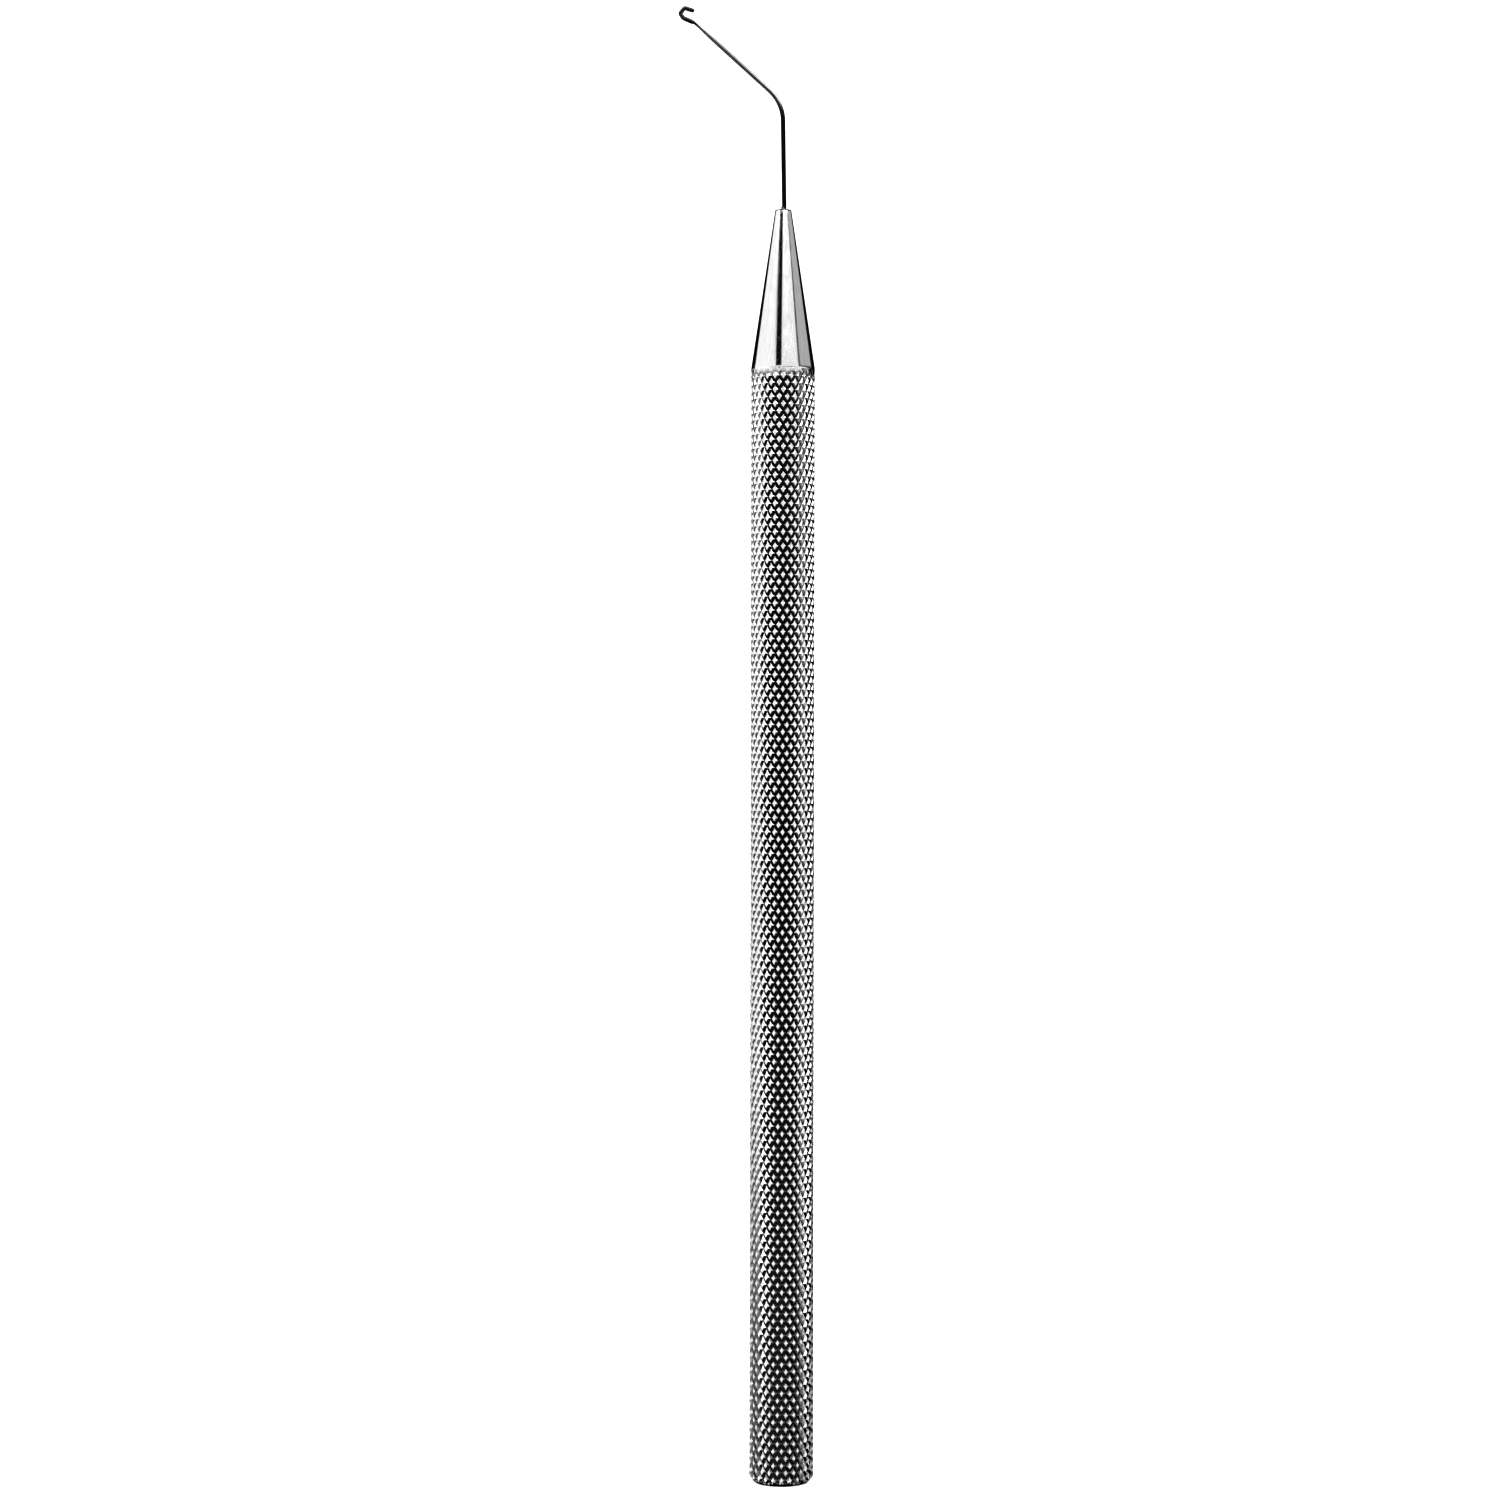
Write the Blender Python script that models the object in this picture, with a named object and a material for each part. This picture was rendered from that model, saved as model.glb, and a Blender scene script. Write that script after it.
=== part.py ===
"""Hooked dental explorer: a knurled tube handle, a turned nose cone and a one-piece wire tip.

The origin is the centre of the handle's flat butt end. +Z runs up the handle towards the tip. The wire's
bend and its hook lie in the XZ plane and lean to -X. Lengths are in metres.
"""

import math

import bmesh
import bpy

MM = 0.001

# Handle tube. Its radius is the one over the crests of the diamond knurl.
HANDLE_RADIUS = 3.25 * MM
BORE_RADIUS = 2.3 * MM
BUTT_CHAMFER = 0.55 * MM
BORE_CHAMFER = 0.12 * MM
SEAM_HEIGHT = 112.45 * MM
SEAM_EDGE = 0.04 * MM

# Nose cone. A short straight land carries on the handle's outline before the taper starts.
LAND_HEIGHT = 0.2 * MM
RIM_HEIGHT = 128.93 * MM
RIM_RADIUS = 0.84 * MM
RIM_ROUNDING = 0.1 * MM
ROUNDING_STEPS = 4
SPIGOT_LENGTH = 9.0 * MM
SPIGOT_CHAMFER = 0.4 * MM
RELIEF_WIDTH = 0.4 * MM
RELIEF_DEPTH = 0.12 * MM
TANG_LENGTH = 9.0 * MM

# Butt plug
PLUG_LENGTH = 6.0 * MM
PLUG_CHAMFER = 0.4 * MM
PLUG_EDGE = 0.12 * MM

# Clearance between two pieces that are pressed or brazed together, on each side
FIT_GAP = 0.03 * MM

# Wire diameters along its length
ROOT_DIAMETER = 0.455 * MM
BEND_DIAMETER = 0.43 * MM
SHANK_DIAMETER = 0.385 * MM
NECK_DIAMETER = 0.26 * MM
NECK_TAPER = 3.2 * MM

# The wire's route, from the cone's mouth
BEND_HEIGHT = 138.12 * MM
BEND_RADIUS = 4.2 * MM
BEND_ANGLE = 47.8
SHANK_LENGTH = 10.2 * MM
NECK_RADIUS = 0.8 * MM
NECK_ANGLE = 18.7
HOOK_LEAD = 1.16 * MM
HOOK_RADIUS = 0.55 * MM
HOOK_ANGLE = -178.5
HOOK_TAIL = 0.29 * MM

# The hook is pressed flatter than the wire: wider in the plane of the bend, thinner across it
HOOK_WIDTH = 0.4 * MM
HOOK_DEPTH = 0.26 * MM
TIP_WIDTH = 0.31 * MM
TIP_ROUNDING_STEPS = 3

# Braze ring
BRAZE_RADIUS = 0.46 * MM
BRAZE_HEIGHT = 0.32 * MM
BRAZE_STEPS = 5

# Facets round each piece
TUBE_SEGMENTS = 72
CONE_SEGMENTS = 72
SMALL_SEGMENTS = 24
WIRE_SIDES = 12

MERGE_DISTANCE = 1e-8
SHARP_ANGLE = math.radians(30)


def steel(name, colour, roughness):
    material = bpy.data.materials.new(name)
    material.use_nodes = True
    shader = material.node_tree.nodes["Principled BSDF"]
    shader.inputs["Base Color"].default_value = (*colour, 1.0)
    shader.inputs["Metallic"].default_value = 1.0
    shader.inputs["Roughness"].default_value = roughness
    return material


def finished(name, bm, material):
    """The bmesh as an object, with its faces turned out and its round sides shaded smooth."""
    bmesh.ops.recalc_face_normals(bm, faces=bm.faces)
    mesh = bpy.data.meshes.new(name)
    bm.to_mesh(mesh)
    bm.free()
    mesh.shade_smooth()
    mesh.set_sharp_from_angle(angle=SHARP_ANGLE)
    mesh.materials.append(material)
    piece = bpy.data.objects.new(name, mesh)
    bpy.context.scene.collection.objects.link(piece)
    return piece


def turned(name, outline, segments, material):
    """A piece turned about Z from (radius, height) points.

    An outline that starts and ends on the axis makes a solid piece, and any other is closed into a ring.
    """
    bm = bmesh.new()
    points = [bm.verts.new((radius, 0.0, height)) for radius, height in outline]
    edges = [bm.edges.new(pair) for pair in zip(points, points[1:])]
    if outline[0][0] > 0.0:
        edges.append(bm.edges.new((points[-1], points[0])))
    bmesh.ops.spin(
        bm, geom=points + edges, cent=(0, 0, 0), axis=(0, 0, 1), angle=math.tau, steps=segments
    )
    bmesh.ops.remove_doubles(bm, verts=bm.verts, dist=MERGE_DISTANCE)
    return finished(name, bm, material)


def quarter_round(centre, radius, start, steps):
    """Points on a quarter circle in the (radius, height) plane, from the start angle onwards."""
    angles = [start + math.pi / 2 * step / steps for step in range(steps + 1)]
    return [(centre[0] + radius * math.cos(a), centre[1] + radius * math.sin(a)) for a in angles]


class Route:
    """A line drawn in the XZ plane by going straight and round bends. A heading of 0 is up, 90 is -X."""

    def __init__(self, x, z):
        self.x = x
        self.z = z
        self.heading = 0.0
        self.length = 0.0
        self.stations = [(x, z, 0.0, 0.0)]

    def step(self, length, turn):
        """One chord, leaving at the middle of the turn."""
        self.heading += turn / 2
        self.x -= length * math.sin(self.heading)
        self.z += length * math.cos(self.heading)
        self.heading += turn / 2
        self.length += length
        self.stations.append((self.x, self.z, self.heading, self.length))

    def straight(self, length, steps=1):
        for _ in range(steps):
            self.step(length / steps, 0.0)

    def bend(self, radius, degrees, steps):
        turn = math.radians(degrees) / steps
        chord = 2 * radius * math.sin(abs(turn) / 2)
        for _ in range(steps):
            self.step(chord, turn)


def between(value, low, high, at_low, at_high):
    """A smooth change from at_low to at_high as value goes from low to high."""
    share = min(max((value - low) / (high - low), 0.0), 1.0)
    share = share * share * (3 - 2 * share)
    return at_low + share * (at_high - at_low)


def wire_section(length, bend_at, neck_at, hook_at, tip_at):
    """Half the wire's width in the bend's plane, and half its depth across it, at a length from the tang."""
    if length < bend_at:
        share = min(max((length - TANG_LENGTH) / (bend_at - TANG_LENGTH), 0.0), 1.0)
        round_part = ROOT_DIAMETER + share * (BEND_DIAMETER - ROOT_DIAMETER)
    else:
        share = min((length - bend_at) / (neck_at - bend_at), 1.0)
        round_part = BEND_DIAMETER + share * (SHANK_DIAMETER - BEND_DIAMETER)
        round_part = between(length, neck_at - NECK_TAPER, neck_at, round_part, NECK_DIAMETER)
    hook_width = between(length, (hook_at + tip_at) / 2, tip_at, HOOK_WIDTH, TIP_WIDTH)
    width = between(length, neck_at, hook_at, round_part, hook_width)
    depth = between(length, neck_at, hook_at, round_part, HOOK_DEPTH)
    return width / 2, depth / 2


def wire_ring(bm, station, width, depth):
    """One ring of the wire's skin, square to its route."""
    x, z, heading, _ = station
    ring = []
    for side in range(WIRE_SIDES):
        angle = math.tau * side / WIRE_SIDES
        across = width * math.cos(angle)
        ring.append(
            bm.verts.new(
                (
                    x + across * math.cos(heading),
                    depth * math.sin(angle),
                    z + across * math.sin(heading),
                )
            )
        )
    return ring


def make_handle_tube():
    outline = [
        (BORE_RADIUS + BORE_CHAMFER, 0.0),
        (HANDLE_RADIUS - BUTT_CHAMFER, 0.0),
        (HANDLE_RADIUS, BUTT_CHAMFER),
        (HANDLE_RADIUS, SEAM_HEIGHT - SEAM_EDGE),
        (HANDLE_RADIUS - SEAM_EDGE, SEAM_HEIGHT),
        (BORE_RADIUS + BORE_CHAMFER, SEAM_HEIGHT),
        (BORE_RADIUS, SEAM_HEIGHT - BORE_CHAMFER),
        (BORE_RADIUS, BORE_CHAMFER),
    ]
    turned("handle_tube", outline, TUBE_SEGMENTS, steel("knurled_steel", (0.56, 0.56, 0.57), 0.24))


def make_nose_cone():
    shoulder = SEAM_HEIGHT + FIT_GAP
    spigot = BORE_RADIUS - FIT_GAP
    tang_bore = ROOT_DIAMETER / 2 + FIT_GAP
    rim = quarter_round(
        (RIM_RADIUS - RIM_ROUNDING, RIM_HEIGHT - RIM_ROUNDING), RIM_ROUNDING, 0.0, ROUNDING_STEPS
    )
    outline = [
        (0.0, SEAM_HEIGHT - SPIGOT_LENGTH),
        (spigot - SPIGOT_CHAMFER, SEAM_HEIGHT - SPIGOT_LENGTH),
        (spigot, SEAM_HEIGHT - SPIGOT_LENGTH + SPIGOT_CHAMFER),
        (spigot, shoulder - RELIEF_WIDTH),
        (spigot - RELIEF_DEPTH, shoulder - RELIEF_WIDTH + RELIEF_DEPTH),
        (spigot - RELIEF_DEPTH, shoulder),
        (HANDLE_RADIUS - SEAM_EDGE, shoulder),
        (HANDLE_RADIUS, shoulder + SEAM_EDGE),
        (HANDLE_RADIUS, SEAM_HEIGHT + LAND_HEIGHT),
        *rim,
        (tang_bore, RIM_HEIGHT),
        (tang_bore, RIM_HEIGHT - TANG_LENGTH - FIT_GAP),
        (0.0, RIM_HEIGHT - TANG_LENGTH - FIT_GAP - tang_bore / 2),
    ]
    turned("nose_cone", outline, CONE_SEGMENTS, steel("polished_steel", (0.62, 0.62, 0.63), 0.12))


def make_butt_plug():
    radius = BORE_RADIUS - FIT_GAP
    outline = [
        (0.0, 0.0),
        (radius - PLUG_EDGE, 0.0),
        (radius, PLUG_EDGE),
        (radius, PLUG_LENGTH - PLUG_CHAMFER),
        (radius - PLUG_CHAMFER, PLUG_LENGTH),
        (0.0, PLUG_LENGTH),
    ]
    turned("butt_plug", outline, TUBE_SEGMENTS, steel("plug_steel", (0.58, 0.58, 0.59), 0.2))


def make_braze_fillet():
    """A ring with a hollow curved side that runs from the cone's rim up onto the wire."""
    foot = RIM_HEIGHT + FIT_GAP
    inner = ROOT_DIAMETER / 2 + FIT_GAP
    reach = BRAZE_RADIUS - inner
    side = []
    for step in range(BRAZE_STEPS + 1):
        angle = math.pi / 2 * step / BRAZE_STEPS
        radius = BRAZE_RADIUS - 0.8 * reach * math.sin(angle)
        side.append((radius, foot + BRAZE_HEIGHT * (1 - math.cos(angle)) + 0.02 * MM))
    outline = [(inner, foot), (BRAZE_RADIUS, foot), *side, (inner, side[-1][1])]
    turned("braze_fillet", outline, SMALL_SEGMENTS, steel("silver_braze", (0.42, 0.41, 0.39), 0.35))


def make_hook_wire():
    route = Route(0.0, RIM_HEIGHT - TANG_LENGTH)
    route.straight(TANG_LENGTH)
    route.straight(BEND_HEIGHT - RIM_HEIGHT, 4)
    bend_at = route.length
    route.bend(BEND_RADIUS, BEND_ANGLE, 12)
    route.straight(SHANK_LENGTH, 5)
    neck_at = route.length
    route.bend(NECK_RADIUS, NECK_ANGLE, 3)
    route.straight(HOOK_LEAD, 4)
    hook_at = neck_at + HOOK_LEAD / 2
    route.bend(HOOK_RADIUS, HOOK_ANGLE, 18)
    route.straight(HOOK_TAIL, 2)
    tip_at = route.length

    bm = bmesh.new()
    rings = []
    for station in route.stations:
        width, depth = wire_section(station[3], bend_at, neck_at, hook_at, tip_at)
        rings.append(wire_ring(bm, station, width, depth))
    # The blunt tip closes in over half its own width
    for step in range(1, TIP_ROUNDING_STEPS):
        angle = math.pi / 2 * step / TIP_ROUNDING_STEPS
        ahead = TIP_WIDTH / 2 * (math.sin(angle) - math.sin(angle - math.pi / 2 / TIP_ROUNDING_STEPS))
        route.straight(ahead)
        shrink = math.cos(angle)
        rings.append(wire_ring(bm, route.stations[-1], width * shrink, depth * shrink))
    for lower, upper in zip(rings, rings[1:]):
        for side in range(WIRE_SIDES):
            after = (side + 1) % WIRE_SIDES
            bm.faces.new((lower[side], lower[after], upper[after], upper[side]))
    bm.faces.new(rings[0])
    bm.faces.new(rings[-1])
    finished("hook_wire", bm, steel("spring_steel", (0.34, 0.34, 0.35), 0.26))


for old in list(bpy.data.objects):
    bpy.data.objects.remove(old)

make_handle_tube()
make_nose_cone()
make_butt_plug()
make_braze_fillet()
make_hook_wire()
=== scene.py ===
"""Looks of the hooked dental explorer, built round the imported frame.

Lengths are in metres. The handle stands on its butt end at the origin, +Z runs up to the tip, and the
wire bends towards -X. The camera looks along +Y.
"""

import math

import bmesh
import bpy
import numpy as np
from mathutils import Matrix, Vector


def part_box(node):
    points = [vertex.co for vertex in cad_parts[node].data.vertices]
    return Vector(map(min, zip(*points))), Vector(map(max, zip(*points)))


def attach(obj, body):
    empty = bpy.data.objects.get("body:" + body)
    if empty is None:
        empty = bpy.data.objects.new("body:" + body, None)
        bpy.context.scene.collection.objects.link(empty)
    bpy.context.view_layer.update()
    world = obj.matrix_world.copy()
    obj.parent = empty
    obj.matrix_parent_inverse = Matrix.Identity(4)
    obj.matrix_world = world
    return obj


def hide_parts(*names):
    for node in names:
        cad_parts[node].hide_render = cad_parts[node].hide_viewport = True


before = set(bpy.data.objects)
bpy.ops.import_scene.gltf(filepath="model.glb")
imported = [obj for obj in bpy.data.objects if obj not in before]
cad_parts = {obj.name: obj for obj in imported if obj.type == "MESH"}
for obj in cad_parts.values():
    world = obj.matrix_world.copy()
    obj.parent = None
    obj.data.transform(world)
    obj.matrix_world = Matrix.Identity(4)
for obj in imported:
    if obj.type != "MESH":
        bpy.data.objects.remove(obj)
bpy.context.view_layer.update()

MM = 0.001

# From the frame
HANDLE_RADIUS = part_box("handle_tube")[1].x
SEAM_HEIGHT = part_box("handle_tube")[1].z
RIM_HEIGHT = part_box("nose_cone")[1].z
TANG_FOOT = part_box("hook_wire")[0].z

# Handle, as in the design
BORE_RADIUS = 2.3 * MM
BORE_CHAMFER = 0.12 * MM
BUTT_CHAMFER = 0.55 * MM
SEAM_EDGE = 0.04 * MM

# Diamond knurl: two crossing families of V grooves, a little deeper towards the butt
STARTS = 24
PROFILE_STEPS = 5
AXIAL_PITCH = 1.44 * MM
GROOVE_PITCH = 1 / math.hypot(STARTS / (math.tau * HANDLE_RADIUS), 1 / AXIAL_PITCH)
BUTT_GROOVE_DEPTH = 0.25 * MM
SEAM_GROOVE_DEPTH = 0.205 * MM
FLANK_TOP = 0.026 * MM
FLANK_ANGLE = math.radians(47)
CREST_EDGE = 0.003 * MM
CREST_TIP_FALL = 0.01 * MM
CREST_UNEVENNESS = 0.002 * MM
BEVEL_SHARE = 0.06
SHARP_ABOVE = math.radians(18)
SEED = 24
# The mesh is cut at these heights, so that the butt's chamfer and the grooves' run-out follow their lines
BUTT_CUTS = (0.0, 0.37 * MM, 0.43 * MM, 0.49 * MM, BUTT_CHAMFER)
RUNOUT_START = SEAM_HEIGHT - 1.2 * MM
RUNOUT_DEPTH = 0.006 * MM
RUNOUT_POWER = 1.3
SEAM_CUTS = (
    SEAM_HEIGHT - 0.8 * MM,
    SEAM_HEIGHT - 0.5 * MM,
    SEAM_HEIGHT - 0.25 * MM,
    SEAM_HEIGHT - SEAM_EDGE,
    SEAM_HEIGHT,
)

# How deep the knurl keeps its bright colour, and from how deep painted shade darkens it fully towards the
# groove floors
GROOVE_SHADE_START_DEPTH = 0.012 * MM
GROOVE_SHADE_FULL_DEPTH = 0.036 * MM
# The spot in the middle of each crest that painted shade leaves bright, as shares of half a cell across and
# along the handle; painted shade darkens the crest's corners outside it
UNSHADED_SPOT_WIDTH = 0.6
UNSHADED_SPOT_HEIGHT = 0.43
# Painted shade fades out towards the seam, and the grooves' painted shade is paler towards the butt and
# under the nose
SEAM_SHADE_FADE_START = SEAM_HEIGHT - 0.9 * MM
BUTT_PALE_END = 8 * MM
BUTT_PALE_START = 60 * MM
NOSE_PALE_START = SEAM_HEIGHT - 45 * MM
NOSE_PALE_END = SEAM_HEIGHT - 3 * MM

# Nose cone
LAND_HEIGHT = 0.05 * MM
LAND_BLEND = 3.0 * MM
RIM_RADIUS = 0.84 * MM
RIM_ROUNDING = 0.1 * MM
# Painted shade darkens the rim from here up, with a ragged lower edge
RIM_SHADE_START = RIM_HEIGHT - 0.2 * MM
RIM_SHADE_FADE = 0.04 * MM
SPIGOT_DEPTH = 2.0 * MM
SPIGOT_CLEARANCE = 0.03 * MM
WIRE_BORE_RADIUS = 0.26 * MM
WIRE_BORE_DEPTH = 2.0 * MM
CONE_SEGMENTS = 256
CONE_SHARP_ABOVE = math.radians(35)

# Wire
ROOT_DIAMETER = 0.455 * MM
BEND_DIAMETER = 0.47 * MM
SHANK_DIAMETER = 0.43 * MM
NECK_DIAMETER = 0.28 * MM
NECK_TAPER = 3.2 * MM
BEND_HEIGHT = 138.12 * MM
BEND_RADIUS = 4.2 * MM
ROOT_OFFSET = 0.1 * MM
ROOT_LEAN = 0.9
ROOT_LEAN_RADIUS = 1.0 * MM
BEND_ANGLE = 47.8
SHANK_LENGTH = 10.2 * MM
NECK_RADIUS = 0.8 * MM
NECK_ANGLE = 18.7
HOOK_CORNER = 0.24 * MM
HOOK_TURNS = (-32.0, -71.4, -70.6)
HOOK_RUNS = (1.06 * MM, 0.36 * MM, 0.36 * MM, 0.7 * MM)
HOOK_WIDTH = 0.46 * MM
HOOK_DEPTH = 0.26 * MM
TIP_WIDTH = 0.44 * MM
WIRE_SIDES = 24
TIP_STEPS = 6
# The wire is near-black over its root up to here and over the hook; furthest out on the hook a painted
# highlight weakens the black
ROOT_DARK_END = 140.2 * MM
ROOT_DARK_FADE = 1.6 * MM
HOOK_DARK_START = 147.6 * MM
HOOK_DARK_FADE = 0.4 * MM
HOOK_HIGHLIGHT_START = -10.05 * MM
HOOK_HIGHLIGHT_END = -10.3 * MM
# Painted light: the side that faces out of the bend is paler, most of all at the bend
PAINTED_LIGHT_SIDE = (0.8, 0.0, 0.6)
PALE_END_START = BEND_HEIGHT + 3.4 * MM
PALE_END = BEND_HEIGHT + 6.4 * MM

# Braze
BRAZE_RADIUS = 0.46 * MM
BRAZE_HEIGHT = 0.32 * MM
BRAZE_FOOT = 0.05 * MM
BRAZE_LIP = 0.004 * MM
BRAZE_STEPS = 12
BRAZE_SEGMENTS = 64

# Wire and braze are smooth up to this angle
SMALL_SHARP_ABOVE = math.radians(50)

# Plug
FACING_PITCH = 0.11 * MM

# Camera
CAMERA_PLACE = Vector((-3.29 * MM, -295.3 * MM, 67.3 * MM))
CAMERA_PITCH = math.radians(1.27)
CAMERA_ROLL = math.radians(0.114)
LENS_MM = 69.77

# Floor
FLOOR_HALF = 3.0


def outer_limit(height):
    """How far out the handle may reach at a height: the butt's chamfer, the crests, then the seam's edge."""
    chamfer = HANDLE_RADIUS - BUTT_CHAMFER + height
    return min(chamfer, HANDLE_RADIUS, HANDLE_RADIUS - SEAM_EDGE + SEAM_HEIGHT - height)


def inner_limit(height):
    """How far in the grooves reach at a height: they run out just below the seam."""
    share = 1 - max(height - RUNOUT_START, 0.0) / (SEAM_HEIGHT - RUNOUT_START)
    return HANDLE_RADIUS - RUNOUT_DEPTH - BUTT_GROOVE_DEPTH * share**RUNOUT_POWER


def link(name, mesh, material, replaced):
    """The mesh as a piece of the object, riding on its one body."""
    piece = bpy.data.objects.new(name, mesh)
    bpy.context.scene.collection.objects.link(piece)
    mesh.materials.append(material)
    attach(piece, "root")
    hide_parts(*replaced)
    return piece


def mesh_of(name, bm, sharp):
    """The finished mesh, with its faces pointing out and smooth but where they turn by more than sharp."""
    bmesh.ops.recalc_face_normals(bm, faces=bm.faces)
    mesh = bpy.data.meshes.new(name)
    bm.to_mesh(mesh)
    bm.free()
    mesh.shade_smooth()
    mesh.set_sharp_from_angle(angle=sharp)
    return mesh


# ---------------------------------------------------------------- knurled handle


def groove_profile(line, step, bottom):
    """Where a point lies across the grooves, and how deep, from its line and its step up the groove's side.

    The steps are the bottom, the top of one flank, the crest's two edges and the next flank's top.
    """
    flank = (bottom - FLANK_TOP) / math.tan(FLANK_ANGLE) / GROOVE_PITCH
    crest = flank + BEVEL_SHARE
    share = np.choose(step, [0 * flank, flank, crest, 1 - crest, 1 - flank])
    depth = np.choose(step, [bottom, FLANK_TOP, CREST_EDGE, CREST_EDGE, FLANK_TOP])
    return line + share, depth


def knurl_grid():
    """Points and triangles of the knurled surface, in cells of one diamond between two grooves each way.

    With a and b counting the grooves of each family, the angle is pi (a + b) / STARTS and the height is
    AXIAL_PITCH (a - b) / 2. A turn adds STARTS to both.
    """
    steps = PROFILE_STEPS
    lowest = -2
    highest = math.ceil(2 * SEAM_HEIGHT / AXIAL_PITCH) + 2
    cells = [
        ((total + rise) // 2, (total - rise) // 2)
        for rise in range(lowest, highest)
        for total in range(rise % 2, 2 * STARTS, 2)
    ]
    a0, b0 = np.array(cells).T
    corners = []
    for i in range(steps):
        for j in range(steps):
            square = [(i, j), (i + 1, j), (i + 1, j + 1), (i, j + 1)]
            middle = (steps - 1) / 2
            if (i - middle) * (j - middle) < 0:
                square = square[1:] + square[:1]
            corners += [square[0], square[1], square[2], square[0], square[2], square[3]]
    di, dj = np.array(corners).T
    i = (a0[:, None] * steps + di[None, :]).ravel()
    j = (b0[:, None] * steps + dj[None, :]).ravel()
    turn = (i + j) // (2 * STARTS * steps)
    i -= turn * STARTS * steps
    j -= turn * STARTS * steps
    keys, index = np.unique(np.stack([i, j], 1), axis=0, return_inverse=True)
    i, j = keys.T
    height = AXIAL_PITCH * (i - j) / (2 * steps)
    bottom = np.interp(height, (0, SEAM_HEIGHT), (BUTT_GROOVE_DEPTH, SEAM_GROOVE_DEPTH))
    a, depth_a = groove_profile(i // steps, i % steps, bottom)
    b, depth_b = groove_profile(j // steps, j % steps, bottom)
    depth = np.maximum(depth_a, depth_b)
    crest = depth == CREST_EDGE
    depth[crest] += CREST_UNEVENNESS * np.random.default_rng(SEED).uniform(-1, 1, crest.sum())
    depth[crest & (i % steps != j % steps)] += CREST_TIP_FALL
    radius = HANDLE_RADIUS - depth
    angle = math.pi * (a + b) / STARTS
    points = np.stack([radius * np.cos(angle), radius * np.sin(angle), AXIAL_PITCH * (a - b) / 2], 1)
    return points, index.reshape(-1, 3)


def cut(bm, height, drop_below=False, drop_above=False):
    """Cuts the mesh level at a height, and may drop what lies below or above."""
    bmesh.ops.bisect_plane(
        bm,
        geom=bm.verts[:] + bm.edges[:] + bm.faces[:],
        dist=1e-9,
        plane_co=(0, 0, height),
        plane_no=(0, 0, 1),
        clear_inner=drop_below,
        clear_outer=drop_above,
    )


def rim_edges(bm, height):
    """The open edges at a height."""
    edges = [e for e in bm.edges if e.is_boundary]
    return [e for e in edges if abs(e.verts[0].co.z - height) < 0.01 * MM]


def bore_end(bm, height, inward):
    """Carries the handle's end face in to the bore and round its small chamfer."""
    edges = rim_edges(bm, height)
    for radius, level in (
        (BORE_RADIUS + BORE_CHAMFER, height),
        (BORE_RADIUS, height + inward * BORE_CHAMFER),
    ):
        made = bmesh.ops.extrude_edge_only(bm, edges=edges)["geom"]
        for vert in (g for g in made if isinstance(g, bmesh.types.BMVert)):
            across = math.hypot(vert.co.x, vert.co.y)
            vert.co = (vert.co.x * radius / across, vert.co.y * radius / across, level)
        edges = [g for g in made if isinstance(g, bmesh.types.BMEdge)]
        edges = [e for e in edges if e.is_boundary]
    return edges


def knurled_handle():
    """The knurled tube: the grid is cut to length, shaped at both ends and closed through the bore."""
    points, triangles = knurl_grid()
    mesh = bpy.data.meshes.new("knurl")
    mesh.from_pydata(points, [], triangles)
    bm = bmesh.new()
    bm.from_mesh(mesh)
    bpy.data.meshes.remove(mesh)
    for height in BUTT_CUTS:
        cut(bm, height, drop_below=height == BUTT_CUTS[0])
    for height in SEAM_CUTS:
        cut(bm, height, drop_above=height == SEAM_CUTS[-1])
    for vert in bm.verts:
        across = math.hypot(vert.co.x, vert.co.y)
        wanted = min(max(across, inner_limit(vert.co.z)), outer_limit(vert.co.z))
        vert.co.x *= wanted / across
        vert.co.y *= wanted / across
    low = bore_end(bm, 0.0, 1)
    high = bore_end(bm, SEAM_HEIGHT, -1)
    bmesh.ops.bridge_loops(bm, edges=low + high)
    return mesh_of("knurled_handle", bm, SHARP_ABOVE)


# ---------------------------------------------------------------- turned pieces and the wire


def turned(name, outline, segments, sharp):
    """A piece turned about Z from (radius, height) points, closed into a ring unless it meets the axis."""
    bm = bmesh.new()
    points = [bm.verts.new((radius, 0.0, height)) for radius, height in outline]
    edges = [bm.edges.new(pair) for pair in zip(points, points[1:])]
    if outline[0][0] > 0.0:
        edges.append(bm.edges.new((points[-1], points[0])))
    bmesh.ops.spin(
        bm, geom=points + edges, cent=(0, 0, 0), axis=(0, 0, 1), angle=math.tau, steps=segments
    )
    bmesh.ops.remove_doubles(bm, verts=bm.verts, dist=1e-8)
    return mesh_of(name, bm, sharp)


def round_corner(centre, radius, start, end, steps):
    """Points along an arc from one angle to another."""
    angles = [start + (end - start) * step / steps for step in range(steps + 1)]
    return [(centre[0] + radius * math.cos(a), centre[1] + radius * math.sin(a)) for a in angles]


def evenly(first, last, steps):
    """Points that divide the way from first to last, without the two ends."""
    shares = [step / steps for step in range(1, steps)]
    return [tuple(a + share * (b - a) for a, b in zip(first, last)) for share in shares]


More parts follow.
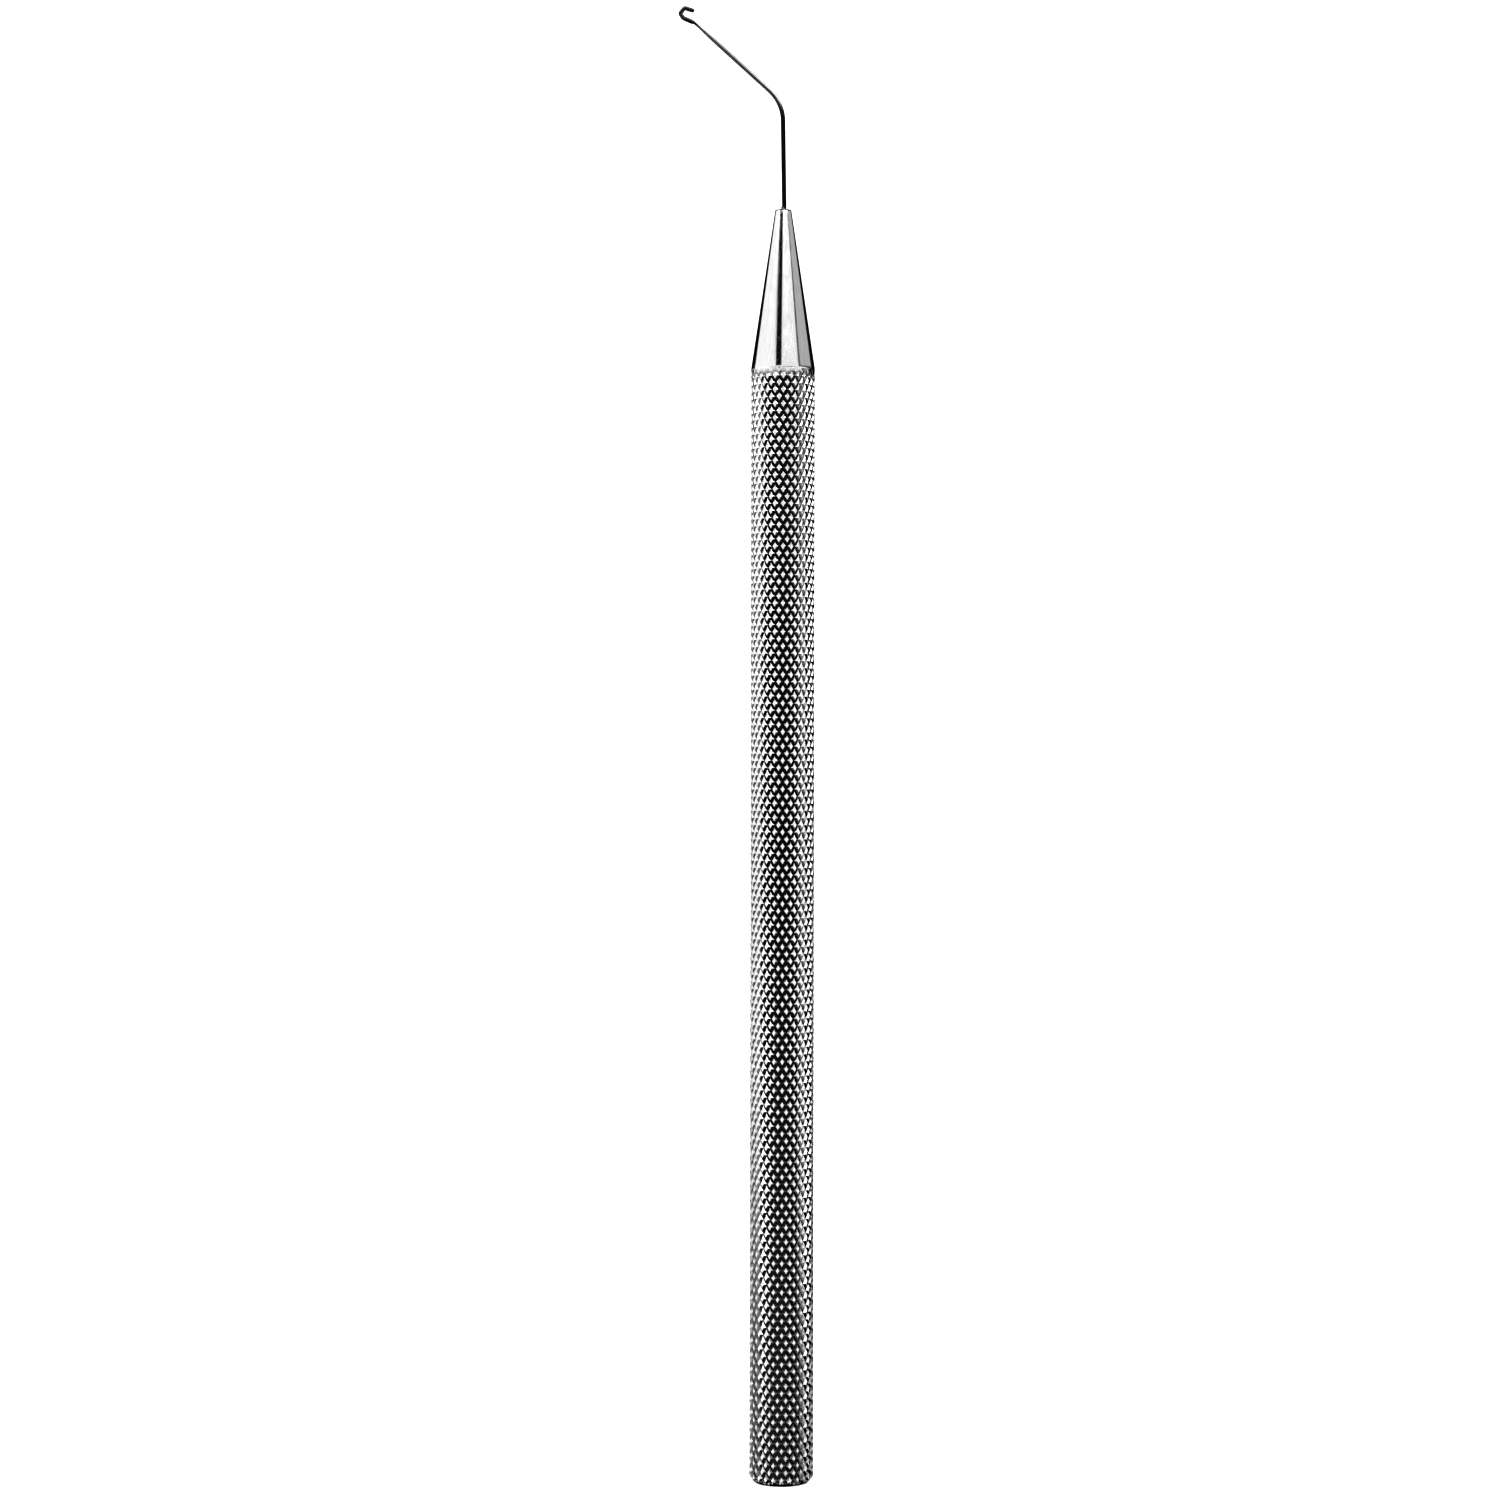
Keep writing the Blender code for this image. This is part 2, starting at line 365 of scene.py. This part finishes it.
def nose_cone():
    """The cone, with a short land above the seam, a rounded rim, a spigot and the wire's bore."""
    land = SEAM_HEIGHT + LAND_HEIGHT
    slope = math.atan2(HANDLE_RADIUS - RIM_RADIUS, RIM_HEIGHT - land)
    spigot = BORE_RADIUS - SPIGOT_CLEARANCE
    seam = round_corner(
        (HANDLE_RADIUS - SEAM_EDGE, SEAM_HEIGHT + SEAM_EDGE), SEAM_EDGE, -math.pi / 2, 0.0, 4
    )
    blend = round_corner((HANDLE_RADIUS - LAND_BLEND, land), LAND_BLEND, 0.0, slope, 8)
    rim = round_corner(
        (RIM_RADIUS - RIM_ROUNDING, RIM_HEIGHT - RIM_ROUNDING), RIM_ROUNDING, slope, math.pi / 2, 8
    )
    outline = [
        (0.0, SEAM_HEIGHT - SPIGOT_DEPTH),
        (spigot, SEAM_HEIGHT - SPIGOT_DEPTH),
        (spigot, SEAM_HEIGHT),
        *seam,
        *blend,
        *evenly(blend[-1], rim[0], 24),
        *rim,
        (WIRE_BORE_RADIUS, RIM_HEIGHT),
        (WIRE_BORE_RADIUS, RIM_HEIGHT - WIRE_BORE_DEPTH),
        (0.0, RIM_HEIGHT - WIRE_BORE_DEPTH),
    ]
    return turned("polished_nose", outline, CONE_SEGMENTS, CONE_SHARP_ABOVE)


def braze_ring():
    """A hollow fillet from the cone's rim up to the wire."""
    inner = ROOT_DIAMETER / 2
    reach = BRAZE_RADIUS - inner
    foot = RIM_HEIGHT - BRAZE_FOOT
    top = RIM_HEIGHT + BRAZE_HEIGHT
    outline = [(inner, foot), (BRAZE_RADIUS, foot)]
    for step in range(BRAZE_STEPS):
        angle = math.pi / 2 * step / BRAZE_STEPS
        outline.append((BRAZE_RADIUS - reach * math.sin(angle), top - BRAZE_HEIGHT * math.cos(angle)))
    outline += [(inner + BRAZE_LIP, top), (inner, top)]
    return turned("braze_collar", outline, BRAZE_SEGMENTS, SMALL_SHARP_ABOVE)


class Route:
    """A line drawn in the XZ plane by going straight and round bends. A heading of 0 is up, 90 is -X."""

    def __init__(self, x, z):
        self.x = x
        self.z = z
        self.heading = 0.0
        self.length = 0.0
        self.stations = [(x, z, 0.0, 0.0)]

    def step(self, length, turn):
        self.heading += turn / 2
        self.x -= length * math.sin(self.heading)
        self.z += length * math.cos(self.heading)
        self.heading += turn / 2
        self.length += length
        self.stations.append((self.x, self.z, self.heading, self.length))

    def straight(self, length, steps=1):
        for _ in range(steps):
            self.step(length / steps, 0.0)

    def bend(self, radius, degrees, steps):
        turn = math.radians(degrees) / steps
        chord = 2 * radius * math.sin(abs(turn) / 2)
        for _ in range(steps):
            self.step(chord, turn)


def eased(value, low, high, at_low, at_high):
    """Goes smoothly from at_low to at_high as the value goes from low to high."""
    share = min(max((value - low) / (high - low), 0.0), 1.0)
    share = share * share * (3 - 2 * share)
    return at_low + share * (at_high - at_low)


def wire_section(length, mouth_at, bend_at, neck_at, hook_at, tip_at):
    """Half the wire's width in the bend's plane, and half its depth across it."""
    if length < bend_at:
        share = max((length - mouth_at) / (bend_at - mouth_at), 0.0)
        diameter = ROOT_DIAMETER + share * (BEND_DIAMETER - ROOT_DIAMETER)
    else:
        share = min((length - bend_at) / (neck_at - bend_at), 1.0)
        diameter = BEND_DIAMETER + share * (SHANK_DIAMETER - BEND_DIAMETER)
        diameter = eased(length, neck_at - NECK_TAPER, neck_at, diameter, NECK_DIAMETER)
    hook_width = eased(length, (hook_at + tip_at) / 2, tip_at, HOOK_WIDTH, TIP_WIDTH)
    width = eased(length, neck_at, hook_at, diameter, hook_width)
    depth = eased(length, neck_at, hook_at, diameter, HOOK_DEPTH)
    return width / 2, depth / 2


def wire_ring(bm, station, width, depth):
    """A ring of points round one station of the wire's route."""
    x, z, heading, _ = station
    ring = []
    for side in range(WIRE_SIDES):
        angle = math.tau * side / WIRE_SIDES
        across = width * math.cos(angle)
        place = (x + across * math.cos(heading), depth * math.sin(angle), z + across * math.sin(heading))
        ring.append(bm.verts.new(place))
    return ring


def hooked_wire():
    """One wire from its tang in the cone, through the bend and the thin neck, to the flattened hook."""
    route = Route(ROOT_OFFSET, TANG_FOOT)
    route.straight(RIM_HEIGHT - TANG_FOOT, steps=2)
    mouth_at = route.length
    route.bend(ROOT_LEAN_RADIUS, ROOT_LEAN, steps=2)
    route.straight(BEND_HEIGHT - RIM_HEIGHT, steps=12)
    bend_at = route.length
    route.bend(BEND_RADIUS, BEND_ANGLE - ROOT_LEAN, steps=32)
    route.straight(SHANK_LENGTH, steps=16)
    neck_at = route.length
    route.bend(NECK_RADIUS, NECK_ANGLE, steps=6)
    hook_at = neck_at + HOOK_RUNS[0] / 2
    for run, turn in zip(HOOK_RUNS, HOOK_TURNS):
        route.straight(run, steps=6)
        route.bend(HOOK_CORNER, turn, steps=12)
    route.straight(HOOK_RUNS[-1], steps=6)
    tip_at = route.length

    bm = bmesh.new()
    rings = []
    for station in route.stations:
        width, depth = wire_section(station[3], mouth_at, bend_at, neck_at, hook_at, tip_at)
        rings.append(wire_ring(bm, station, width, depth))
    # The round tip narrows from the last section
    for step in range(1, TIP_STEPS):
        angle = math.pi / 2 * step / TIP_STEPS
        before = math.pi / 2 * (step - 1) / TIP_STEPS
        route.straight(TIP_WIDTH / 2 * (math.sin(angle) - math.sin(before)))
        shrink = math.cos(angle)
        rings.append(wire_ring(bm, route.stations[-1], width * shrink, depth * shrink))
    for lower, upper in zip(rings, rings[1:]):
        for side in range(WIRE_SIDES):
            after = (side + 1) % WIRE_SIDES
            bm.faces.new((lower[side], lower[after], upper[after], upper[side]))
    bm.faces.new(rings[0])
    bm.faces.new(rings[-1])
    return mesh_of("hooked_wire", bm, SMALL_SHARP_ABOVE)


# ---------------------------------------------------------------- materials


def add_node(tree, kind, inputs=None, **settings):
    """A node with its settings, its inputs linked where they are sockets and set where they are values."""
    node = tree.nodes.new(kind)
    for key, value in settings.items():
        setattr(node, key, value)
    for key, value in (inputs or {}).items():
        if isinstance(value, bpy.types.NodeSocket):
            tree.links.new(value, node.inputs[key])
        else:
            node.inputs[key].default_value = value
    return node


class Nodes:
    """A short way to write a material's node tree."""

    def __init__(self, name):
        self.material = bpy.data.materials.new(name)
        self.material.use_nodes = True
        self.tree = self.material.node_tree
        self.shader = self.tree.nodes["Principled BSDF"]
        self.place = self.add("ShaderNodeTexCoord").outputs["Object"]

    def add(self, kind, inputs=None, **settings):
        return add_node(self.tree, kind, inputs, **settings)

    def maths(self, operation, *values):
        node = self.add("ShaderNodeMath", dict(enumerate(values)), operation=operation)
        return node.outputs[0]

    def noise(self, size, detail=3.0, roughness=0.5, stretch=(1, 1, 1)):
        """Noise with features of about that size, in metres, stretched along the axes."""
        scale = tuple(1 / (size * s) for s in stretch)
        moved = self.add("ShaderNodeMapping", {"Vector": self.place, "Scale": scale})
        inputs = {"Vector": moved.outputs[0], "Scale": 1.0, "Detail": detail, "Roughness": roughness}
        return self.add("ShaderNodeTexNoise", inputs).outputs["Fac"]

    def spread(self, value, low, high, to_low, to_high):
        """Goes from to_low to to_high as the value goes from low to high, and stays there outside."""
        inputs = {0: value, 1: low, 2: high, 3: to_low, 4: to_high}
        return self.add("ShaderNodeMapRange", inputs).outputs[0]

    def wander(self, noise, to_low, to_high):
        """Spreads the range in which noise mostly lies."""
        return self.spread(noise, 0.3, 0.7, to_low, to_high)

    def mixed(self, share, first, second):
        inputs = {0: share, 6: first, 7: second}
        return self.add("ShaderNodeMix", inputs, data_type="RGBA").outputs[2]

    def from_axis(self):
        """The distance from the handle's axis."""
        parts = self.add("ShaderNodeSeparateXYZ", {0: self.place}).outputs
        flat = self.add("ShaderNodeCombineXYZ", {0: parts[0], 1: parts[1]})
        return self.add("ShaderNodeVectorMath", {0: flat.outputs[0]}, operation="LENGTH").outputs["Value"]

    def bump(self, height, distance):
        inputs = {"Height": height, "Distance": distance, "Strength": 1.0}
        return self.add("ShaderNodeBump", inputs).outputs[0]

    def finish(self, colour, roughness, normal):
        self.shader.inputs["Metallic"].default_value = 1.0
        self.tree.links.new(colour, self.shader.inputs["Base Color"])
        self.tree.links.new(roughness, self.shader.inputs["Roughness"])
        self.tree.links.new(normal, self.shader.inputs["Normal"])
        return self.material


def grey(value, warmth=0.0):
    return (value * (1 + warmth), value, value * (1 - warmth), 1.0)


# Colours of the finishes and of the painted shade. Noise wanders between the two of a pair
BURNISHED = (grey(0.66, 0.004), grey(0.78, 0.002))
# Painted shade in the knurl's grooves, paler near the butt and under the nose
GROOVE_SHADE = (grey(0.06, 0.01), grey(0.1, 0.01))
GROOVE_SHADE_NEAR_BUTT = grey(0.14, 0.01)
GROOVE_SHADE_UNDER_NOSE = grey(0.11, 0.01)
POLISHED = (grey(0.7, 0.003), grey(0.79, 0.001))
# Painted shade on the nose's rim
RIM_SHADE = grey(0.03)
FACED = (grey(0.55), grey(0.66))
WIRE_INNER = (grey(0.035), grey(0.06))
# Painted light on the side of the wire that faces out of the bend
WIRE_LIT_BEND = grey(0.08)
WIRE_LIT_SHANK = grey(0.035)
# The wire's near-black colour over the root and the hook
WIRE_DARKEST = (grey(0.007), grey(0.016))
# Braze colours, near black with painted shade where the wire meets the rim
BRAZE_SHADED = (grey(0.015, 0.03), grey(0.05, 0.02))
# How strongly the two dark materials, knurl and wire, shine at a grazing angle
KNURL_EDGE_SHINE = grey(0.4)
WIRE_EDGE_SHINE = grey(0.2)


def knurled_steel():
    """Bright on the crests, with painted shade dark in the grooves and over the crests' corners.

    The crests are found as knurl_grid places them: a and b count the grooves of each family.
    """
    nodes = Nodes("knurled_steel")
    # Painted shade grows with depth from the crests to the groove floors
    depth = nodes.spread(
        nodes.from_axis(), HANDLE_RADIUS - GROOVE_SHADE_FULL_DEPTH, HANDLE_RADIUS - GROOVE_SHADE_START_DEPTH, 1.0, 0.0
    )
    x, y, z = nodes.add("ShaderNodeSeparateXYZ", {0: nodes.place}).outputs
    turns = nodes.maths("MULTIPLY", nodes.maths("ARCTAN2", y, x), STARTS / math.tau)
    rise = nodes.maths("MULTIPLY", z, 1 / AXIAL_PITCH)
    a = nodes.maths("SUBTRACT", nodes.maths("FRACT", nodes.maths("ADD", turns, rise)), 0.5)
    b = nodes.maths("SUBTRACT", nodes.maths("FRACT", nodes.maths("SUBTRACT", turns, rise)), 0.5)
    # Outside a bright spot in the middle of each crest, painted shade darkens its corners
    across = nodes.maths("MULTIPLY", nodes.maths("ADD", a, b), 1 / UNSHADED_SPOT_WIDTH)
    along = nodes.maths("MULTIPLY", nodes.maths("SUBTRACT", a, b), 1 / UNSHADED_SPOT_HEIGHT)
    from_spot = nodes.maths("MULTIPLY_ADD", across, across, nodes.maths("MULTIPLY", along, along))
    # Painted shade: full in the grooves and over the crests' corners, eased towards the seam
    painted_shade = nodes.maths("MAXIMUM", depth, nodes.spread(from_spot, 0.7, 1.3, 0.0, 1.0))
    painted_shade = nodes.maths("MULTIPLY", painted_shade, nodes.spread(z, SEAM_SHADE_FADE_START, SEAM_HEIGHT, 1.0, 0.25))
    cloud = nodes.noise(4 * MM, detail=4)
    grain = nodes.noise(0.09 * MM, detail=2)
    crest = nodes.mixed(cloud, *BURNISHED)
    groove = nodes.mixed(nodes.noise(0.5 * MM), *GROOVE_SHADE)
    near_butt = nodes.spread(z, BUTT_PALE_END, BUTT_PALE_START, 1.0, 0.0)
    under_nose = nodes.spread(z, NOSE_PALE_START, NOSE_PALE_END, 0.0, 1.0)
    groove = nodes.mixed(near_butt, groove, GROOVE_SHADE_NEAR_BUTT)
    groove = nodes.mixed(under_nose, groove, GROOVE_SHADE_UNDER_NOSE)
    colour = nodes.mixed(painted_shade, crest, groove)
    nodes.shader.inputs["Specular Tint"].default_value = KNURL_EDGE_SHINE
    rough = nodes.wander(grain, 0.1, 0.17)
    return nodes.finish(colour, rough, nodes.bump(grain, 0.0015 * MM))


def polished_steel():
    """Polished along the cone, with painted shade darkening the rim."""
    nodes = Nodes("polished_steel")
    streak = nodes.noise(0.16 * MM, detail=4, roughness=0.6, stretch=(1, 1, 14))
    cloud = nodes.noise(0.9 * MM, detail=4, roughness=0.6, stretch=(1, 1, 2.5))
    height = nodes.add("ShaderNodeSeparateXYZ", {0: nodes.place}).outputs[2]
    # Painted shade over the rim, with a ragged lower edge
    ragged = nodes.wander(cloud, -RIM_SHADE_FADE, RIM_SHADE_FADE)
    height = nodes.maths("ADD", height, ragged)
    scale = nodes.spread(height, RIM_SHADE_START, RIM_SHADE_START + RIM_SHADE_FADE, 0.0, 1.0)
    marks = nodes.maths("MULTIPLY_ADD", streak, 0.6, nodes.maths("MULTIPLY", cloud, 0.4))
    steel = nodes.mixed(nodes.spread(marks, 0.35, 0.65, 0.0, 1.0), *POLISHED)
    colour = nodes.mixed(scale, steel, RIM_SHADE)
    rough = nodes.wander(streak, 0.06, 0.13)
    return nodes.finish(colour, rough, nodes.bump(streak, 0.0006 * MM))


def faced_steel():
    """The plug's end, with the fine rings of a facing cut."""
    nodes = Nodes("faced_steel")
    across = nodes.from_axis()
    ring = nodes.maths("SINE", nodes.maths("MULTIPLY", across, math.tau / FACING_PITCH))
    colour = nodes.mixed(nodes.noise(1.5 * MM), *FACED)
    rough = nodes.spread(ring, -1.0, 1.0, 0.18, 0.28)
    return nodes.finish(colour, rough, nodes.bump(ring, 0.001 * MM))


def drawn_wire():
    """Spring steel, near-black from the root up to the bend and again on the hook, with painted light on the
    side that faces out of the bend and a painted highlight furthest out on the hook.
    """
    nodes = Nodes("drawn_wire")
    streak = nodes.noise(0.05 * MM, roughness=0.6, stretch=(1, 1, 30))
    cloud = nodes.noise(1.2 * MM)
    across, _, height = nodes.add("ShaderNodeSeparateXYZ", {0: nodes.place}).outputs
    # Near-black over the root up to the bend and over the hook
    root = nodes.spread(height, ROOT_DARK_END - ROOT_DARK_FADE, ROOT_DARK_END, 1.0, 0.0)
    hook = nodes.spread(height, HOOK_DARK_START, HOOK_DARK_START + HOOK_DARK_FADE, 0.0, 1.0)
    # Painted highlight: furthest out on the hook the near-black is weakened
    hook = nodes.maths("MULTIPLY", hook, nodes.spread(across, HOOK_HIGHLIGHT_END, HOOK_HIGHLIGHT_START, 0.35, 1.0))
    scale = nodes.maths("MAXIMUM", root, hook)
    # Painted light: paler on the side that faces out of the bend, most of all at the bend
    facing = nodes.add("ShaderNodeTexCoord").outputs["Normal"]
    facing = nodes.add("ShaderNodeVectorMath", {0: facing, 1: PAINTED_LIGHT_SIDE}, operation="DOT_PRODUCT")
    lit_side = nodes.spread(facing.outputs["Value"], -0.1, 0.6, 0.0, 1.0)
    inner = nodes.mixed(cloud, *WIRE_INNER)
    past_bend = nodes.spread(height, PALE_END_START, PALE_END, 0.0, 1.0)
    lit_colour = nodes.mixed(past_bend, WIRE_LIT_BEND, WIRE_LIT_SHANK)
    steel = nodes.mixed(lit_side, inner, lit_colour)
    colour = nodes.mixed(scale, steel, nodes.mixed(cloud, *WIRE_DARKEST))
    nodes.shader.inputs["Specular Tint"].default_value = WIRE_EDGE_SHINE
    rough = nodes.wander(streak, 0.2, 0.32)
    return nodes.finish(colour, rough, nodes.bump(streak, 0.0008 * MM))


def silver_braze():
    """Pitted, and darkened to near black by painted shade where the wire meets the rim."""
    nodes = Nodes("silver_braze")
    pitting = nodes.noise(0.06 * MM, detail=4, roughness=0.6)
    colour = nodes.mixed(pitting, *BRAZE_SHADED)
    rough = nodes.wander(pitting, 0.3, 0.5)
    return nodes.finish(colour, rough, nodes.bump(pitting, 0.003 * MM))


# ---------------------------------------------------------------- stage


def add_camera():
    data = bpy.data.cameras.new("camera")
    data.lens = LENS_MM
    data.sensor_width = 36.0
    data.clip_start = 0.01
    data.clip_end = 20.0
    camera = bpy.data.objects.new("camera", data)
    bpy.context.scene.collection.objects.link(camera)
    level = Matrix.Rotation(math.pi / 2 + CAMERA_PITCH, 4, "X")
    roll = Matrix.Rotation(CAMERA_ROLL, 4, "Z")
    camera.matrix_world = Matrix.Translation(CAMERA_PLACE) @ level @ roll
    bpy.context.scene.camera = camera


def add_floor():
    """A pale floor that reflections don't see, so that only the panels light the steel."""
    mesh = bpy.data.meshes.new("floor")
    corners = [(FLOOR_HALF * x, FLOOR_HALF * y, 0) for x, y in ((-1, -1), (1, -1), (1, 1), (-1, 1))]
    mesh.from_pydata(corners, [], [(0, 1, 2, 3)])
    floor = bpy.data.objects.new("floor", mesh)
    bpy.context.scene.collection.objects.link(floor)
    material = bpy.data.materials.new("floor")
    material.use_nodes = True
    shader = material.node_tree.nodes["Principled BSDF"]
    shader.inputs["Base Color"].default_value = (0.9, 0.9, 0.9, 1)
    shader.inputs["Roughness"].default_value = 0.9
    shader.inputs["Emission Color"].default_value = (1, 1, 1, 1)
    shader.inputs["Emission Strength"].default_value = 0.3
    mesh.materials.append(material)
    floor.visible_glossy = False


# Each panel of the studio as reflections see it: (azimuth from, to, elevation from, to, brightness).
# Angles are in degrees, azimuth from the camera's side and negative to the left. Between panels it is dark.
PANELS = (
    # mirrored by the nose
    (-124, -6, 5, 31, 0.86),
    (-6, 58, 5, 31, 0.77),
    (58, 67, 5, 31, 0.12),
    (67, 124, 5, 13, 0.1),
    (67, 124, 13, 31, 0.43),
    # level with the handle and a little below, mirrored by the crests
    (-150, -100, -30, 5, 0.85),
    (-100, -52, -30, 5, 1.15),
    (-52, 2, -30, 5, 0.92),
    (2, 28, -14, 5, 0.95),
    (28, 78, -12, 5, 1.1),
    (28, 78, -30, -12, 0.65),
    (78, 100, -30, 5, 0.5),
    # low on the left and far on the right
    (-140, -80, -62, -30, 5.0),
    (-80, -28, -62, -30, 0.8),
    (-28, 0, -62, -30, 1.5),
    (70, 140, -62, -30, 2.6),
    # above, strongest at the front right
    (-118, -40, 28.8, 38, 8.0),
    (-39, 0, 34.5, 38, 7.0),
    (2, 62, 31.0, 38, 10.5),
    (62, 100, 33.5, 38, 9.5),
    (-150, -112, 38, 50, 2.5),
    (-112, -30, 38, 50, 8.0),
    (-30, 28, 38, 50, 8.5),
    (28, 100, 38, 50, 12.5),
    (100, 170, 38, 50, 1.8),
    (-150, 100, 50, 66, 12.0),
)
PANEL_EDGE = 3.0
DARK = 0.002
WHITE = 1.15
# A dark flag in front of the first two panels, which the nose mirrors as its dark line. Its left edge moves
# out by FLARE degrees for each degree above FLARE_FROM
FLAG_LEFT = -28.0
FLAG_RIGHT = -6.5
FLAG_FOOT = 11.0
FLAG_TOP = 33.0
FLARE_FROM = 25.5
FLARE = 7.6


def studio_world():
    """White to the camera. Reflections see soft-edged panels in a dark room, with a flag before some."""
    world = bpy.data.worlds.new("studio")
    bpy.context.scene.world = world
    world.use_nodes = True
    tree = world.node_tree
    tree.nodes.clear()

    def add(kind, inputs=None, **settings):
        return add_node(tree, kind, inputs, **settings)

    def maths(operation, *values):
        return add("ShaderNodeMath", dict(enumerate(values)), operation=operation).outputs[0]

    def edge(value, at, inward):
        """Rises from 0 to 1 across a soft edge, towards higher values if inward is 1 and lower if -1."""
        half = inward * PANEL_EDGE / 2
        return add("ShaderNodeMapRange", {0: value, 1: at - half, 2: at + half, 3: 0.0, 4: 1.0}).outputs[0]

    def window(value, low, high):
        return maths("MULTIPLY", edge(value, low, 1), edge(value, high, -1))

    direction = add("ShaderNodeTexCoord").outputs["Generated"]
    x, y, z = add("ShaderNodeSeparateXYZ", {0: direction}).outputs
    azimuth = maths("MULTIPLY", maths("ARCTAN2", x, maths("MULTIPLY", y, -1.0)), 180 / math.pi)
    elevation = maths("MULTIPLY", maths("ARCSINE", z), 180 / math.pi)
    total = DARK
    for left, right, low, high, brightness in PANELS:
        panel = maths("MULTIPLY", window(azimuth, left, right), window(elevation, low, high))
        total = maths("MULTIPLY_ADD", panel, brightness, total)
    flare = maths("MAXIMUM", maths("SUBTRACT", elevation, FLARE_FROM), 0.0)
    flag_left = edge(maths("MULTIPLY_ADD", flare, FLARE, azimuth), FLAG_LEFT, 1)
    across_flag = maths("MULTIPLY", flag_left, edge(azimuth, FLAG_RIGHT, -1))
    flag = maths("MULTIPLY", across_flag, window(elevation, FLAG_FOOT, FLAG_TOP))
    total = maths("MULTIPLY", total, maths("SUBTRACT", 1.0, flag))
    rays = add("ShaderNodeLightPath").outputs
    studio = add("ShaderNodeBackground", {"Color": total, "Strength": 1.0})
    white = add("ShaderNodeBackground", {"Color": (1, 1, 1, 1), "Strength": WHITE})
    mix = add("ShaderNodeMixShader", {0: rays["Is Glossy Ray"], 1: white.outputs[0], 2: studio.outputs[0]})
    add("ShaderNodeOutputWorld", {"Surface": mix.outputs[0]})


add_camera()
studio_world()
add_floor()

handle = link("knurled_handle", knurled_handle(), knurled_steel(), ["handle_tube"])
nose = link("polished_nose", nose_cone(), polished_steel(), ["nose_cone"])
wire = link("hooked_wire", hooked_wire(), drawn_wire(), ["hook_wire"])
braze = link("braze_collar", braze_ring(), silver_braze(), ["braze_fillet"])

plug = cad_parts["butt_plug"]
plug.data.materials.clear()
plug.data.materials.append(faced_steel())

bpy.context.scene.view_settings.view_transform = "Standard"
bpy.context.scene.view_settings.look = "High Contrast"
